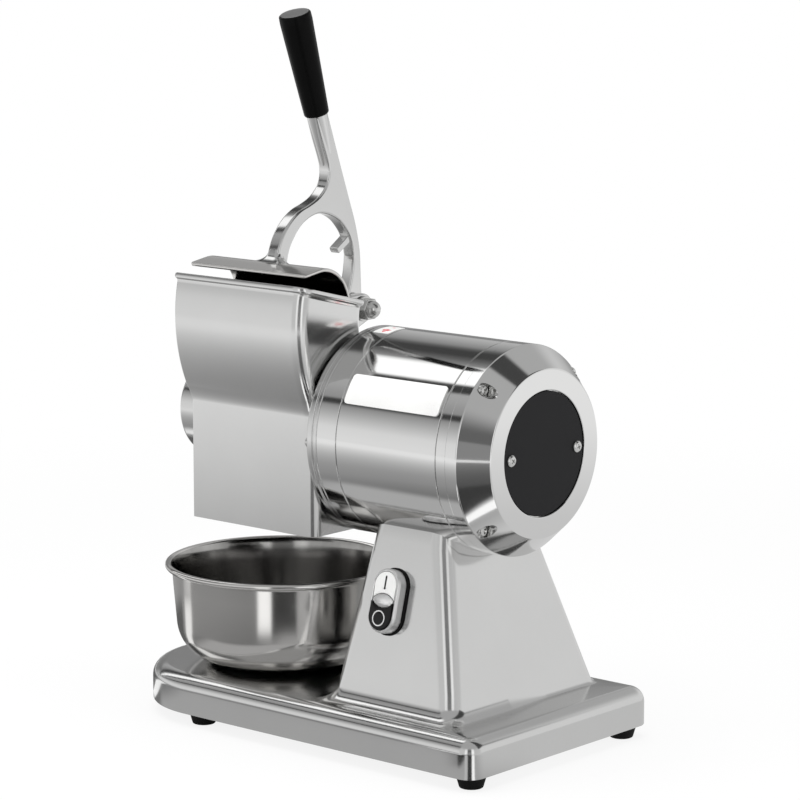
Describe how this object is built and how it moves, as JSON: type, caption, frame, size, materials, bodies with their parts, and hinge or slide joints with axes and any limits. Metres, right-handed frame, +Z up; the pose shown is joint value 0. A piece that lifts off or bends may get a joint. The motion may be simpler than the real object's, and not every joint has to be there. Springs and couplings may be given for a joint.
{
  "type": "electric grater",
  "caption": "Electric grater for hard cheese: motor on a cast stand, lever-worked presser over a curved hopper, bowl under the outlet.",
  "frame": {"origin": "centre of the base's plan, on the surface that it stands on", "axes": "+X along the motor shaft from the hopper to the rear cap, -Y towards the switch, +Z up"},
  "size_m": [0.441, 0.257, 0.6574],
  "materials": {
    "polished_casting": "polished cast aluminium with fine grinding lines",
    "brushed_tube": "satin turned stainless steel",
    "brushed_stainless": "brushed stainless steel sheet",
    "plated_steel": "bright plated steel",
    "ground_steel": "ground steel",
    "copper_winding": "varnished copper wire",
    "bronze": "sintered bronze",
    "black_plastic": "satin black moulded plastic",
    "black_rubber": "black rubber",
    "grey_plastic": "titanium grey moulded plastic",
    "white_plastic": "white plastic",
    "clear_lens": "clear moulded lens"
  },
  "bodies": {
    "stand": {"base_casting": "polished_casting", "bottom_cover": "brushed_stainless", "cover_screws": "plated_steel", "foot_front_left": "black_rubber", "foot_front_right": "black_rubber", "foot_rear_left": "black_rubber", "foot_rear_right": "black_rubber", "foot_screws": "plated_steel", "motor_tube": "brushed_tube", "front_ring": "polished_casting", "rear_shield": "polished_casting", "rear_cap": "polished_casting", "cap_screws": "plated_steel", "rear_disc": "black_plastic", "disc_screws": "plated_steel", "motor_bolts": "plated_steel", "stator_core": "ground_steel", "front_winding": "copper_winding", "rear_winding": "copper_winding", "front_bearing": "ground_steel", "rear_bearing": "ground_steel", "shaft_seal": "black_rubber", "capacitor": "white_plastic", "terminal_block": "white_plastic", "cable_gland": "black_plastic", "gland_locknut": "black_plastic", "label_plate": "white_plastic", "arrow_sticker": "white_plastic", "hopper_casting": "polished_casting", "flange_screws": "plated_steel", "end_cover": "polished_casting", "end_cover_screws": "plated_steel", "end_bush": "bronze", "hinge_bolt": "plated_steel", "hinge_washers": "plated_steel", "acorn_nut": "plated_steel", "switch_gasket": "black_rubber", "switch_bezel": "grey_plastic", "pilot_lens": "clear_lens", "switch_block": "black_plastic"},
    "rotor": {"motor_shaft": "ground_steel", "rotor": "ground_steel", "cooling_fan": "black_plastic", "grating_drum": "brushed_stainless", "drum_key": "plated_steel", "drum_nut": "plated_steel"},
    "lever": {"lever_arm": "polished_casting", "lever_bush": "bronze", "grip_stud": "plated_steel", "lever_grip": "black_plastic", "presser": "brushed_stainless", "presser_screws": "plated_steel"},
    "start_button": {"start_button": "white_plastic"},
    "stop_button": {"stop_button": "black_plastic"},
    "bowl": {"bowl": "brushed_stainless"}
  },
  "joints": [
    {"name": "rotor_spin", "type": "hinge", "parent": "stand", "child": "rotor", "pos_m": [0, 0.006, 0.276], "axis": [1, 0, 0], "continuous": true},
    {"name": "lever_swing", "type": "hinge", "parent": "stand", "child": "lever", "pos_m": [-0.0895, 0.062, 0.3745], "axis": [1, 0, 0], "range_deg": [-95, 57]},
    {"name": "start_press", "type": "slide", "parent": "stand", "child": "start_button", "axis": [0, 0.9667, -0.2561], "range_m": [0, 0.0025], "stiffness_N_per_m": 800},
    {"name": "stop_press", "type": "slide", "parent": "stand", "child": "stop_button", "axis": [0, 0.9667, -0.2561], "range_m": [0, 0.0025], "stiffness_N_per_m": 800},
    {"name": "bowl_out", "type": "slide", "parent": "stand", "child": "bowl", "axis": [0, -1, 0], "range_m": [0, 0.2]}
  ]
}
